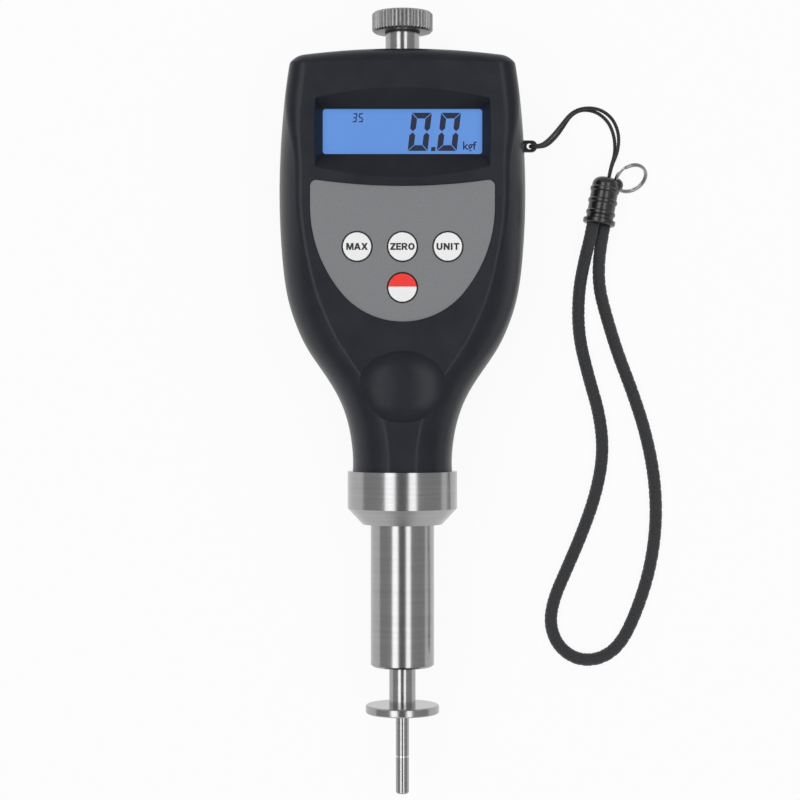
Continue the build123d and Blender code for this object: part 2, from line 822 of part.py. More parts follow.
with BuildPart() as board_screws:
    with BuildSketch(Plane.XY.offset(board_bottom)):
        with Locations(*board_screw_places):
            Circle(board_screw_radius)
    extrude(amount=board_thickness + board_screw_grip)
    with BuildSketch(Plane.XY.offset(board_bottom - board_head_height)):
        with Locations(*board_screw_places):
            Circle(board_head_radius)
    extrude(amount=board_head_height)
save(board_screws.part, "board_screws")

# ---------------------------------------------------------------- batteries

cell_x = [(i - (cell_count - 1) / 2) * cell_pitch for i in range(cell_count)]
for i, x in enumerate(cell_x):
    turned_round = i % 2
    base_y = cell_low_y - spring_space if turned_round else cell_low_y
    nub_y = base_y if turned_round else base_y + cell_length - cell_nub_length
    can_y = base_y + cell_nub_length if turned_round else base_y
    with BuildPart() as cell:
        with BuildSketch(Plane(origin=(x, can_y, cell_axis_z), x_dir=(1, 0, 0), z_dir=(0, 1, 0))):
            Circle(cell_diameter / 2)
        extrude(amount=cell_length - cell_nub_length)
        chamfer(cell.edges(), cell_edge)
        with BuildSketch(Plane(origin=(x, nub_y, cell_axis_z), x_dir=(1, 0, 0), z_dir=(0, 1, 0))):
            Circle(cell_nub_radius)
        extrude(amount=cell_nub_length)
    save(cell.part, f"battery_{i + 1}")

# plates at both ends of the bay, and a three-turn spring at each cell's flat end
with BuildPart() as battery_contacts:
    for x in cell_x:
        for y in (bay_low_y, bay_high_y - plate_thickness):
            with Locations((x, y, cell_axis_z)):
                Box(plate_size, plate_thickness, plate_size, align=(Align.CENTER, Align.MIN, Align.CENTER))
save(battery_contacts.part, "battery_contacts")

turn_wire = spring_space / (2 * spring_turns)
with BuildPart() as battery_springs:
    for i, x in enumerate(cell_x):
        wall_y = bay_high_y - plate_thickness if i % 2 else bay_low_y + plate_thickness
        inward_y = -1 if i % 2 else 1
        for turn in range(spring_turns):
            middle_y = wall_y + inward_y * turn_wire * (2 * turn + 1)
            with Locations(Plane(origin=(x, middle_y, cell_axis_z), z_dir=(0, 1, 0))):
                Torus(spring_radius - spring_taper * turn, turn_wire * 1.02 if turn == 1 else turn_wire)
save(battery_springs.part, "battery_springs")

# ---------------------------------------------------------------- stand post and cap

stand_post = turned(
    [
        (0, post_base_y - post_flange_thickness),
        (post_flange_radius, post_base_y - post_flange_thickness),
        (post_flange_radius, post_base_y),
        (post_radius, post_base_y),
        (post_radius, post_top_y),
        (stand_thread_radius, post_top_y),
        (stand_thread_radius, post_top_y + stand_thread_length - stand_thread_chamfer),
        (stand_thread_radius - stand_thread_chamfer, post_top_y + stand_thread_length),
        (0, post_top_y + stand_thread_length),
    ]
)
save(stand_post, "stand_post")

cap_hole_radius = stand_thread_radius + running_gap
cap_washer = turned(
    [
        (cap_hole_radius, post_top_y),
        (washer_radius, post_top_y),
        (washer_radius, cap_low_y),
        (cap_hole_radius, cap_low_y),
    ]
)
save(cap_washer, "cap_washer")

cap_bounds = turned(
    [
        (cap_hole_radius, cap_low_y),
        (cap_radius - cap_chamfer, cap_low_y),
        (cap_radius, cap_low_y + cap_chamfer),
        (cap_radius, cap_top_y - cap_chamfer),
        (cap_radius - cap_chamfer, cap_top_y),
        (0, cap_top_y),
        (0, cap_top_y - cap_roof),
        (cap_hole_radius, cap_top_y - cap_roof),
    ]
)
cap_plane = Plane(origin=(0, cap_low_y, axis_height), x_dir=(1, 0, 0), z_dir=(0, 1, 0))
with BuildPart() as stand_cap:
    with BuildSketch(cap_plane):
        Circle(cap_radius)
        with PolarLocations(cap_radius, knurl_count):
            Rectangle(sqrt(2) * knurl_depth, sqrt(2) * knurl_depth, rotation=45, mode=Mode.SUBTRACT)
    extrude(amount=cap_height)
    add(cap_bounds, mode=Mode.INTERSECT)
save(stand_cap.part, "stand_cap")

# ---------------------------------------------------------------- probe

probe_collar = turned(
    [
        (collar_bore, spigot_top_y),
        (spigot_radius, spigot_top_y),
        (spigot_radius, groove_high_y),
        (spigot_radius - spigot_groove, groove_high_y),
        (spigot_radius - spigot_groove, groove_low_y),
        (spigot_radius, groove_low_y),
        (spigot_radius, collar_top_y),
        (collar_radius, collar_top_y),
        (collar_radius, collar_nose_y),
        (collar_nose_radius, barrel_top_y),
        (barrel_thread_radius, barrel_top_y),
        (barrel_thread_radius, barrel_top_y + barrel_thread_length),
        (collar_bore, barrel_top_y + barrel_thread_length),
    ]
)
save(probe_collar, "probe_collar")

probe_barrel = turned(
    [
        (barrel_bore, barrel_top_y + barrel_thread_length),
        (barrel_thread_radius, barrel_top_y + barrel_thread_length),
        (barrel_thread_radius, barrel_top_y),
        (barrel_radius, barrel_top_y),
        (barrel_radius, barrel_end_y + barrel_edge),
        (barrel_radius - barrel_edge, barrel_end_y),
        (barrel_bore, barrel_end_y),
    ]
)
save(probe_barrel, "probe_barrel")


def guide_bush(low_y):
    """A plastic bush pressed into the barrel, with the plunger running in it."""
    return turned(
        [
            (rod_radius + running_gap, low_y),
            (barrel_bore, low_y),
            (barrel_bore, low_y + bush_length),
            (rod_radius + running_gap, low_y + bush_length),
        ]
    )


save(guide_bush(barrel_end_y + bush_sink), "lower_guide_bush")
save(guide_bush(shoulder_low_y - bush_length), "upper_guide_bush")

overload_stop = turned(
    [
        (stud_radius + stop_gap, stop_low_y),
        (barrel_bore, stop_low_y),
        (barrel_bore, stop_low_y + stop_length),
        (stud_radius + stop_gap, stop_low_y + stop_length),
    ]
)
save(overload_stop, "overload_stop")

tip_hole_radius = tip_thread_radius + running_gap
plunger = turned(
    [
        (tip_hole_radius, disc_top_y),
        (rod_radius, disc_top_y),
        (rod_radius, shoulder_low_y),
        (rod_shoulder_radius, shoulder_low_y),
        (rod_shoulder_radius, shoulder_high_y),
        (stud_radius, shoulder_high_y),
        (stud_radius, rod_end_y),
        (0, rod_end_y),
        (0, disc_top_y + tip_thread_length + tip_thread_spare),
        (tip_hole_radius, disc_top_y + tip_thread_length + tip_thread_spare),
    ]
)
save(plunger, "plunger")

splash_disc = turned(
    [
        (tip_hole_radius, disc_bottom_y),
        (disc_radius - disc_edge, disc_bottom_y),
        (disc_radius, disc_bottom_y + disc_edge),
        (disc_radius, disc_top_y - disc_edge),
        (disc_radius - disc_edge, disc_top_y),
        (tip_hole_radius, disc_top_y),
    ]
)
save(splash_disc, "splash_disc")

mark_y = tip_end_y + depth_mark
test_tip = turned(
    [
        (0, tip_end_y),
        (tip_radius - tip_edge, tip_end_y),
        (tip_radius, tip_end_y + tip_edge),
        (tip_radius, mark_y - mark_width),
        (tip_radius - mark_depth, mark_y - mark_width),
        (tip_radius - mark_depth, mark_y),
        (tip_radius, mark_y),
        (tip_radius, disc_bottom_y),
        (tip_thread_radius, disc_bottom_y),
        (tip_thread_radius, disc_top_y + tip_thread_length),
        (0, disc_top_y + tip_thread_length),
    ]
)
save(test_tip, "test_tip")

# ---------------------------------------------------------------- load cell

cell_body_y = cell_end_y + cell_button_height
slot_low_y = cell_body_y + cell_body_length * 0.25
slot_high_y = cell_body_y + cell_body_length * 0.75
slot_length = 0.8 * cell_body_width
fixing_radius = stud_radius
with BuildPart() as load_cell:
    with BuildSketch(Plane.XY.offset(axis_height)):
        with Locations((0, cell_body_y + cell_body_length / 2)):
            Rectangle(cell_body_width, cell_body_length)
            Circle(cell_hole_radius, mode=Mode.SUBTRACT)
        with Locations((-cell_body_width / 2 + slot_length / 2, slot_low_y)):
            Rectangle(slot_length, cell_slot, mode=Mode.SUBTRACT)
        with Locations((cell_body_width / 2 - slot_length / 2, slot_high_y)):
            Rectangle(slot_length, cell_slot, mode=Mode.SUBTRACT)
    extrude(amount=cell_body_thickness / 2, both=True)
    with BuildSketch(Plane(origin=(0, cell_end_y, axis_height), x_dir=(1, 0, 0), z_dir=(0, 1, 0))):
        Circle(stud_radius + cell_button_ring)
    extrude(amount=cell_button_height)
    with BuildSketch(Plane(origin=(0, cell_top_y, axis_height), x_dir=(1, 0, 0), z_dir=(0, 1, 0))):
        Circle(fixing_radius)
    extrude(amount=-fixing_depth, mode=Mode.SUBTRACT)
save(load_cell.part, "load_cell")

bracket_top_z = axis_height + cell_body_thickness / 2 + bracket_rise
with BuildPart() as cell_bracket:
    with Locations((0, bracket_low_y, bracket_foot_height)):
        Box(
            2 * bracket_half_width,
            bracket_thickness,
            bracket_top_z - bracket_foot_height,
            align=(Align.CENTER, Align.MIN, Align.MIN),
        )
    with Locations((0, bracket_low_y + bracket_thickness, bracket_foot_height)):
        Box(
            2 * bracket_half_width,
            bracket_foot_length,
            bracket_thickness,
            align=(Align.CENTER, Align.MIN, Align.MIN),
        )
    with BuildSketch(Plane(origin=(0, bracket_low_y, axis_height), x_dir=(1, 0, 0), z_dir=(0, 1, 0))):
        Circle(fixing_radius)
    extrude(amount=bracket_thickness, mode=Mode.SUBTRACT)
    with BuildSketch(Plane.XY.offset(bracket_foot_height)):
        with Locations((-bracket_screw_x, bracket_foot_y), (bracket_screw_x, bracket_foot_y)):
            Circle(housing_screw_radius)
    extrude(amount=bracket_thickness, mode=Mode.SUBTRACT)
save(cell_bracket.part, "cell_bracket")

with BuildPart() as bracket_screws:
    with BuildSketch(Plane.XY.offset(wall)):
        with Locations((-bracket_screw_x, bracket_foot_y), (bracket_screw_x, bracket_foot_y)):
            Circle(housing_screw_radius)
    extrude(amount=bracket_foot_height - wall + bracket_thickness)
    with BuildSketch(Plane.XY.offset(bracket_foot_height + bracket_thickness)):
        with Locations((-bracket_screw_x, bracket_foot_y), (bracket_screw_x, bracket_foot_y)):
            Circle(screw_head_radius)
    extrude(amount=screw_head_height)
save(bracket_screws.part, "bracket_screws")

load_cell_screw = turned(
    [
        (0, cell_top_y - fixing_depth + fixing_spare),
        (fixing_radius, cell_top_y - fixing_depth + fixing_spare),
        (fixing_radius, cell_top_y + bracket_thickness),
        (fixing_head_radius, cell_top_y + bracket_thickness),
        (fixing_head_radius, cell_top_y + bracket_thickness + fixing_head_height),
        (0, cell_top_y + bracket_thickness + fixing_head_height),
    ]
)
save(load_cell_screw, "load_cell_screw")

# ---------------------------------------------------------------- wrist strap

cord_cap_mouth = Vector(52.95, -6.95, 4.40)
cord_cap_top = Vector(55.30, 5.75, 3.85)
cord_cap_axis = (cord_cap_top - cord_cap_mouth).normalized()
cord_cap_length = (cord_cap_top - cord_cap_mouth).length
cord_cap_side = cord_cap_axis.cross(Vector(0, 0, 1)).normalized()
cord_cap_up = cord_cap_side.cross(cord_cap_axis)
ring_middle = Vector(61.70, 5.62, 3.60)
ring_lean = 46.5
ring_heading = 25.0
ring_along = Vector(cos(radians(ring_heading)), sin(radians(ring_heading)), 0)
ring_across = Vector(
    -sin(radians(ring_heading)) * cos(radians(ring_lean)),
    cos(radians(ring_heading)) * cos(radians(ring_lean)),
    sin(radians(ring_lean)),
)
ring_plane = Plane(origin=ring_middle, x_dir=ring_along, z_dir=ring_along.cross(ring_across))
ear_middle = ring_middle - ring_along * ring_radius

# cap that joins the thin cord to the loop: ribs, a flange at the mouth, a domed top and an ear for the ring
rib_places = (3.1, 6.3, 9.5)
rib_half = 0.35
flange_length = 1.3
dome_height = 2.2
top_radius = 1.6
cap_profile = [(0, 0), (cord_cap_flange - cord_cap_edge, 0), (cord_cap_flange, cord_cap_edge)]
cap_profile += [(cord_cap_flange, flange_length), (cord_cap_radius, flange_length + cord_cap_edge)]
rib_radius = cord_cap_radius + cord_cap_rib
for place in rib_places:
    cap_profile += [(cord_cap_radius, place - 2 * rib_half), (rib_radius, place - rib_half)]
    cap_profile += [(rib_radius, place + rib_half), (cord_cap_radius, place + 2 * rib_half)]
dome_low = cord_cap_length - dome_height
with BuildPart() as cord_cap:
    with BuildSketch(Plane(origin=cord_cap_mouth, x_dir=cord_cap_side, z_dir=cord_cap_up)):
        with BuildLine():
            Polyline(*cap_profile, (cord_cap_radius, dome_low))
            TangentArc((cord_cap_radius, dome_low), (top_radius, cord_cap_length), tangent=(0, 1))
            Polyline((top_radius, cord_cap_length), (0, cord_cap_length), (0, 0))
        make_face()
    revolve(axis=Axis(cord_cap_mouth, cord_cap_axis))
    with Locations(ear_middle):
        Sphere(1.9)
    with Locations(ring_plane):
        Torus(ring_radius, ring_wire_radius + ring_channel, mode=Mode.SUBTRACT)
save(cord_cap.part, "cord_cap")

with BuildPart() as split_ring:
    with Locations(ring_plane):
        Torus(ring_radius, ring_wire_radius)
save(split_ring.part, "split_ring")


def cord_tube(route, cord_radius, name, tight=()):
    """A cord's tube: straight runs joined by tangent arcs as large as the runs allow.

    Corners listed in tight have the given smaller radius instead.
    """
    points = [Vector(*point) for point in route]
    corner_radii = []
    for i in range(1, len(points) - 1):
        before = points[i] - points[i - 1]
        after = points[i + 1] - points[i]
        turn = radians(before.get_angle(after))
        largest = 0.45 * min(before.length, after.length) / tan(turn / 2)
        corner_radii.append(dict(tight).get(i, largest))
    print(name, "corner radii", [round(radius, 1) for radius in corner_radii])
    with BuildPart() as tube:
        with BuildLine() as path:
            FilletPolyline(*points, radius=corner_radii)
        wire = path.wires()[0]
        with BuildSketch(Plane(origin=wire @ 0, z_dir=wire % 0)):
            Circle(cord_radius)
        sweep(path=wire)
    expected = pi * cord_radius**2 * wire.length
    print(name, "length", round(wire.length, 1), "volume ratio", round(tube.part.volume / expected, 4))
    save(tube.part, name)


def by_cap(along, across, up):
    """A place beside the cap's axis, measured from the middle of its mouth."""
    return cord_cap_mouth + cord_cap_axis * along + cord_cap_side * across + cord_cap_up * up


# braided loop: out of the cap's mouth, round on the table and back beside itself
loop_side = loop_cord_radius - 0.14
loop_up = 0.8
wrist_loop_route = [
    by_cap(0, -loop_side, loop_up),
    by_cap(-4, -loop_side, loop_up),
    (49.30, -16.20, 3.40),
    (47.70, -25.20, 1.85),
    (47.70, -36.60, 1.80),
    (50.40, -47.80, 1.80),
    (53.50, -58.30, 1.80),
    (54.50, -68.60, 1.80),
    (52.60, -79.40, 1.80),
    (48.90, -90.00, 1.80),
    (44.60, -100.00, 1.80),
    (41.00, -108.20, 1.80),
    (39.90, -115.00, 1.80),
    (42.20, -121.10, 1.80),
    (47.50, -124.80, 1.80),
    (53.90, -124.50, 1.80),
    (59.30, -120.40, 1.80),
    (63.60, -111.40, 1.80),
    (67.20, -100.00, 1.80),
    (68.90, -87.60, 1.80),
    (68.40, -75.20, 1.80),
    (65.90, -62.80, 1.80),
    (62.20, -51.60, 1.80),
    (58.20, -41.20, 1.80),
    (55.00, -30.60, 1.80),
    (53.35, -24.00, 1.90),
    (53.10, -17.40, 2.60),
    by_cap(-4, loop_side, -loop_up),
    by_cap(0, loop_side, -loop_up),
]
cord_tube(wrist_loop_route, loop_cord_radius, "wrist_loop")

# thin cord: from the cap's top round an arch to the lug, up through its hole and back beside itself
lug_fold_radius = 1.0
strand_side = 0.5
strand_up = thin_cord_radius + 0.03
lanyard_route = [
    by_cap(cord_cap_length, strand_side, -strand_up),
    by_cap(cord_cap_length + 3, strand_side, -strand_up),
    (57.15, 11.90, 1.30),
    (57.75, 14.90, 0.60),
    (57.40, 17.90, 0.60),
    (56.04, 20.85, 0.60),
    (53.84, 23.29, 0.60),
    (51.12, 24.43, 0.60),
    (48.26, 24.30, 0.70),
    (45.80, 22.60, 1.40),
    (43.83, 19.66, 3.40),
    (41.50, 16.30, 6.60),
    (38.60, 13.60, 10.20),
    (36.40, 12.95, 12.50),
    (33.95, 12.95, 12.50),
    (33.95, 12.95, 15.40),
    (36.30, 12.95, 15.40),
    (38.30, 14.30, 13.10),
    (40.73, 17.30, 9.00),
    (43.10, 20.50, 5.20),
    (45.38, 23.50, 2.90),
    (48.17, 25.10, 1.75),
    (51.30, 25.40, 1.60),
    (54.62, 24.75, 0.90),
    (57.37, 22.61, 0.60),
    (58.84, 19.21, 0.60),
    (59.05, 15.82, 0.80),
    (58.00, 12.30, 2.80),
    by_cap(cord_cap_length + 3, strand_side, strand_up),
    by_cap(cord_cap_length, strand_side, strand_up),
]
cord_tube(lanyard_route, thin_cord_radius, "lanyard_cord", {14: lug_fold_radius, 15: lug_fold_radius})
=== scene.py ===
"""Studio scene for the hand-held hardness tester. Metres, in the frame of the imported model."""

from math import atan2, cos, pi, radians, sin

import bpy
import numpy as np
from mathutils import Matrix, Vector


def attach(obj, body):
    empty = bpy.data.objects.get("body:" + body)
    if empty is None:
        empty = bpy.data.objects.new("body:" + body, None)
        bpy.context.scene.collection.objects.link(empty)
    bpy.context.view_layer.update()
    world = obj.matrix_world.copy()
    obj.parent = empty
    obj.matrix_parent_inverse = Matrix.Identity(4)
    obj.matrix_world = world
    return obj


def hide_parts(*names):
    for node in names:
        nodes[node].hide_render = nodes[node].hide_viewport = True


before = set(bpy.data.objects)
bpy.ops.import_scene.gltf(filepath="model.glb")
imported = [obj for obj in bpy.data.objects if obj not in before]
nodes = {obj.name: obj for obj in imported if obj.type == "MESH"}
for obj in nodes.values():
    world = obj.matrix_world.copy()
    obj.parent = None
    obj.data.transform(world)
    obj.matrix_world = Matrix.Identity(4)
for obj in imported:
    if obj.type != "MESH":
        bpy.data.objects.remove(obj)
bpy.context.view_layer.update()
scene = bpy.context.scene
scene.view_settings.view_transform = "Standard"
MM = 0.001

# ---------------------------------------------------------------- camera

LENS = 92.277
SENSOR_WIDTH = 36
EYE = Vector((-0.64, -54.28, 557.75))

camera_data = bpy.data.cameras.new("camera")
camera_data.lens = LENS
camera_data.sensor_width = SENSOR_WIDTH
camera = bpy.data.objects.new("camera", camera_data)
camera.location = EYE * MM
scene.collection.objects.link(camera)
scene.camera = camera


# ---------------------------------------------------------------- materials


def shader(name, color, roughness, **sockets):
    """A new material and its Principled shader, with plain values on its sockets."""
    mat = bpy.data.materials.new(name)
    mat.use_nodes = True
    bsdf = mat.node_tree.nodes["Principled BSDF"]
    bsdf.inputs["Base Color"].default_value = (*color, 1)
    bsdf.inputs["Roughness"].default_value = roughness
    for key, value in sockets.items():
        bsdf.inputs[key.replace("_", " ")].default_value = value
    return mat, bsdf


def add_node(mat, kind, **values):
    """A node with its properties and input values set."""
    node = mat.node_tree.nodes.new(kind)
    for key, value in values.items():
        if hasattr(node, key):
            setattr(node, key, value)
        else:
            node.inputs[key.replace("_", " ")].default_value = value
    return node


def place(mat, scale=(1, 1, 1)):
    """Object coordinates, scaled per axis."""
    links = mat.node_tree.links
    coords = add_node(mat, "ShaderNodeTexCoord")
    mapping = add_node(mat, "ShaderNodeMapping", Scale=scale)
    links.new(coords.outputs["Object"], mapping.inputs["Vector"])
    return mapping.outputs["Vector"]


def ramp(mat, value, low, high, start=0.3, end=0.7):
    """A colour that goes from low to high as value goes from start to end."""
    node = add_node(mat, "ShaderNodeValToRGB")
    node.color_ramp.elements[0].position = start
    node.color_ramp.elements[1].position = end
    node.color_ramp.elements[0].color = (*low, 1)
    node.color_ramp.elements[1].color = (*high, 1)
    mat.node_tree.links.new(value, node.inputs["Fac"])
    return node.outputs["Color"]


WIDE_DETAIL = 3.0
FINE_DETAIL = 2.0
GLOSS_SPREAD = 0.15
RELIEF_SHARE = 0.3


def grained(name, low, high, grain, patch, roughness, bump, stretch=(1, 1, 1), **sockets):
    """A surface with patches in its colour and gloss and a fine grain in its bump. Sizes in mm."""
    mat, bsdf = shader(name, high, roughness, **sockets)
    links = mat.node_tree.links
    where = place(mat, stretch)
    wide = add_node(mat, "ShaderNodeTexNoise", Scale=1 / (patch * MM), Detail=WIDE_DETAIL)
    fine = add_node(mat, "ShaderNodeTexNoise", Scale=1 / (grain * MM), Detail=FINE_DETAIL)
    links.new(where, wide.inputs["Vector"])
    links.new(where, fine.inputs["Vector"])
    links.new(ramp(mat, wide.outputs["Fac"], low, high), bsdf.inputs["Base Color"])
    gloss = add_node(mat, "ShaderNodeMapRange")
    gloss.inputs["To Min"].default_value = roughness * (1 - GLOSS_SPREAD)
    gloss.inputs["To Max"].default_value = roughness * (1 + GLOSS_SPREAD)
    links.new(wide.outputs["Fac"], gloss.inputs["Value"])
    links.new(gloss.outputs["Result"], bsdf.inputs["Roughness"])
    relief = add_node(mat, "ShaderNodeBump", Strength=bump, Distance=RELIEF_SHARE * grain * MM)
    links.new(fine.outputs["Fac"], relief.inputs["Height"])
    links.new(relief.outputs["Normal"], bsdf.inputs["Normal"])
    return mat


def painted(mat, layers):
    """Covers what lies past a limit along an axis, each layer over the one before it. In mm."""
    links = mat.node_tree.links
    bsdf = mat.node_tree.nodes["Principled BSDF"]
    apart = add_node(mat, "ShaderNodeSeparateXYZ")
    links.new(place(mat), apart.inputs["Vector"])
    shown = bsdf.inputs["Base Color"].links[0].from_socket
    for axis, operation, limit, cover in layers:
        side = add_node(mat, "ShaderNodeMath", operation=operation)
        side.inputs[1].default_value = limit * MM
        both = add_node(mat, "ShaderNodeMix", data_type="RGBA")
        both.inputs[7].default_value = (*cover, 1)
        links.new(apart.outputs[axis], side.inputs[0])
        links.new(side.outputs["Value"], both.inputs[0])
        links.new(shown, both.inputs[6])
        shown = both.outputs[2]
    links.new(shown, bsdf.inputs["Base Color"])
    return mat


housing = grained(
    "housing_plastic", (0.013, 0.0155, 0.022), (0.018, 0.020, 0.027),
    grain=0.22, patch=6, roughness=0.33, bump=0.35, Specular_IOR_Level=0.24,
)
keypad = grained(
    "keypad_grey", (0.195, 0.20, 0.21), (0.225, 0.23, 0.24),
    grain=0.16, patch=0.5, roughness=0.5, bump=0.3,
)
# the dark print of the key legends, also used for the painted shade rings round the keys
ink_and_ring_shade = grained(
    "legend_ink_and_ring_shade", (0.010, 0.010, 0.012), (0.016, 0.016, 0.018),
    grain=0.1, patch=0.5, roughness=0.5, bump=0.05,
)
washer = grained(
    "washer_black", (0.02, 0.02, 0.02), (0.035, 0.035, 0.035),
    grain=0.3, patch=2, roughness=0.5, bump=0.1,
)
silicone = grained(
    "mat_silicone", (0.30, 0.32, 0.35), (0.36, 0.38, 0.41),
    grain=0.4, patch=3, roughness=0.6, bump=0.1,
)
board_green = grained(
    "board_resist", (0.015, 0.14, 0.06), (0.03, 0.2, 0.1),
    grain=0.4, patch=4, roughness=0.35, bump=0.1,
)
wrap = grained(
    "cell_wrap", (0.03, 0.03, 0.035), (0.06, 0.06, 0.07),
    grain=0.5, patch=8, roughness=0.35, bump=0.05,
)
plated = grained(
    "contact_plating", (0.65, 0.58, 0.42), (0.75, 0.68, 0.5),
    grain=0.3, patch=3, roughness=0.25, bump=0.05, Metallic=1.0,
)
plain_steel = grained(
    "screw_steel", (0.42, 0.42, 0.43), (0.52, 0.52, 0.53),
    grain=0.2, patch=2, roughness=0.3, bump=0.1, Metallic=1.0,
)
machined = grained(
    "cell_aluminium", (0.6, 0.6, 0.62), (0.7, 0.7, 0.72),
    grain=0.2, patch=3, roughness=0.35, bump=0.1, Metallic=1.0,
)
nylon = grained(
    "bush_nylon", (0.7, 0.7, 0.65), (0.8, 0.8, 0.75),
    grain=0.3, patch=3, roughness=0.45, bump=0.05,
)
diffuser = grained(
    "light_guide", (0.8, 0.83, 0.88), (0.88, 0.9, 0.95),
    grain=0.5, patch=5, roughness=0.4, bump=0.05,
)
black_gloss = grained(
    "cap_gloss", (0.007, 0.007, 0.008), (0.011, 0.011, 0.012),
    grain=0.6, patch=3, roughness=0.27, bump=0.05, Specular_IOR_Level=0.8,
)
bright_ring = grained(
    "ring_bright", (0.30, 0.30, 0.30), (0.40, 0.40, 0.40),
    grain=0.3, patch=2, roughness=0.2, bump=0.05, Metallic=1.0,
)
braid_cloth = grained(
    "braid_cloth", (0.012, 0.013, 0.016), (0.030, 0.031, 0.036),
    grain=0.07, patch=0.5, roughness=0.7, bump=0.6, Sheen_Weight=0.25,
)
cord_cloth = grained(
    "cord_cloth", (0.010, 0.010, 0.012), (0.020, 0.020, 0.023),
    grain=0.05, patch=0.4, roughness=0.6, bump=0.5, Sheen_Weight=0.2,
)


def turned_metal(name):
    """Steel with fine rings round the probe's axis."""
    return grained(
        name,
        (0.34, 0.34, 0.345),
        (0.38, 0.38, 0.385),
        grain=0.09,
        patch=0.7,
        roughness=0.19,
        bump=0.06,
        stretch=(0.02, 1, 0.02),
        Metallic=1.0,
    )


def key_plastic(name):
    """The white plastic of the keys."""
    return grained(
        name,
        (0.94, 0.94, 0.94),
        (0.97, 0.97, 0.97),
        grain=0.5,
        patch=3,
        roughness=0.3,
        bump=0.05,
    )


turned = turned_metal("turned_steel")
knurled = grained(
    "knurled_steel", (0.29, 0.29, 0.29), (0.36, 0.36, 0.36),
    grain=0.2, patch=1.0, roughness=0.40, bump=0.25, Metallic=1.0,
)

# test tip: the same steel with a painted highlight along its depth groove
TIP_END = -158.4
GROOVE_HIGH = TIP_END + 10.03
GROOVE_LOW = TIP_END + 9.67
tip_steel = painted(
    turned_metal("tip_steel"),
    [
        # painted highlight: a bright band between the groove's limits, plain steel colour below it
        ("Y", "LESS_THAN", GROOVE_HIGH, (0.68, 0.68, 0.68)),
        ("Y", "LESS_THAN", GROOVE_LOW, (0.36, 0.36, 0.365)),
    ],
)

# keys: painted shade on each key below the panel's top, for the shadow in the gap round it; the
# power key's red above a white lower half
SIDE_SHADE_TOP = 27.3
RED_LOW = -25.0
key_side_shade = ("Z", "LESS_THAN", SIDE_SHADE_TOP, (0.008, 0.008, 0.008))
red_half = ("Y", "GREATER_THAN", RED_LOW, (0.98, 0.045, 0.04))
white_key = painted(key_plastic("key_white"), [key_side_shade])
power_red = painted(key_plastic("key_red_white"), [red_half, key_side_shade])

# lit display: a faint cloudiness in its own blue light
CLOUD_SCALE = 60.0
GLOW_LOW = (0.090, 0.235, 0.60)
GLOW_HIGH = (0.100, 0.255, 0.64)
display, display_bsdf = shader("display_lit", (0.02, 0.05, 0.12), 0.4)
cloud = add_node(display, "ShaderNodeTexNoise", Scale=CLOUD_SCALE, Detail=FINE_DETAIL)
links = display.node_tree.links
links.new(place(display), cloud.inputs["Vector"])
glow = ramp(display, cloud.outputs["Fac"], GLOW_LOW, GLOW_HIGH)
links.new(glow, display_bsdf.inputs["Emission Color"])
display_bsdf.inputs["Emission Strength"].default_value = 1.0

digit_ink = grained(
    "digit_ink", (0.004, 0.010, 0.045), (0.006, 0.014, 0.06),
    grain=0.2, patch=1, roughness=0.6, bump=0.05,
)

# window: clear, with only its gloss showing
GLASS_IOR = 1.4
GLASS_ROUGHNESS = 0.03
window, _ = shader("window_clear", (0.9, 0.95, 1.0), GLASS_ROUGHNESS)
clear = add_node(window, "ShaderNodeBsdfTransparent")
gleam = add_node(window, "ShaderNodeBsdfGlossy", Roughness=GLASS_ROUGHNESS)
facing = add_node(window, "ShaderNodeFresnel", IOR=GLASS_IOR)
mixed = add_node(window, "ShaderNodeMixShader")
links = window.node_tree.links
links.new(facing.outputs["Fac"], mixed.inputs["Fac"])
links.new(clear.outputs["BSDF"], mixed.inputs[1])
links.new(gleam.outputs["BSDF"], mixed.inputs[2])
links.new(mixed.outputs["Shader"], window.node_tree.nodes["Material Output"].inputs["Surface"])

finishes = (
    (housing, ["front_shell", "rear_shell", "battery_cover"]),
    (window, ["display_window"]),
    (display, ["display_glass"]),
    (diffuser, ["backlight"]),
    (keypad, ["keypad_panel"]),
    (white_key, ["max_key", "zero_key", "unit_key"]),
    (power_red, ["power_key"]),
    (silicone, ["key_mat"]),
    (plated, ["key_switches", "battery_contacts", "battery_springs"]),
    (board_green, ["main_board"]),
    (
        plain_steel,
        [
            "board_screws",
            "housing_screws",
            "overload_stop",
            "bracket_screws",
            "load_cell_screw",
        ],
    ),
    (wrap, ["battery_1", "battery_2", "battery_3", "battery_4"]),
    (turned, ["stand_post", "probe_collar", "probe_barrel", "plunger", "splash_disc"]),
    (washer, ["cap_washer"]),
    (knurled, ["stand_cap"]),
    (tip_steel, ["test_tip"]),
    (nylon, ["lower_guide_bush", "upper_guide_bush"]),
    (machined, ["load_cell", "cell_bracket"]),
    (black_gloss, ["cord_cap"]),
    (bright_ring, ["split_ring"]),
    (cord_cloth, ["lanyard_cord"]),
    (braid_cloth, ["wrist_loop"]),
)
for mat, names in finishes:
    for name in names:
        nodes[name].data.materials.clear()
        nodes[name].data.materials.append(mat)


# ---------------------------------------------------------------- mesh helpers

SPLINE_STEPS = 24
SPLINE_ORDER = 3


def mesh_object(name, verts, faces, mat, smooth=True):
    """A new mesh object from points in mm."""
    data = bpy.data.meshes.new(name)
    data.from_pydata([tuple(c * MM for c in v) for v in verts], [], faces)
    data.update()
    if smooth:
        data.polygons.foreach_set("use_smooth", [True] * len(data.polygons))
    data.materials.append(mat)
    obj = bpy.data.objects.new(name, data)
    scene.collection.objects.link(obj)
    return obj


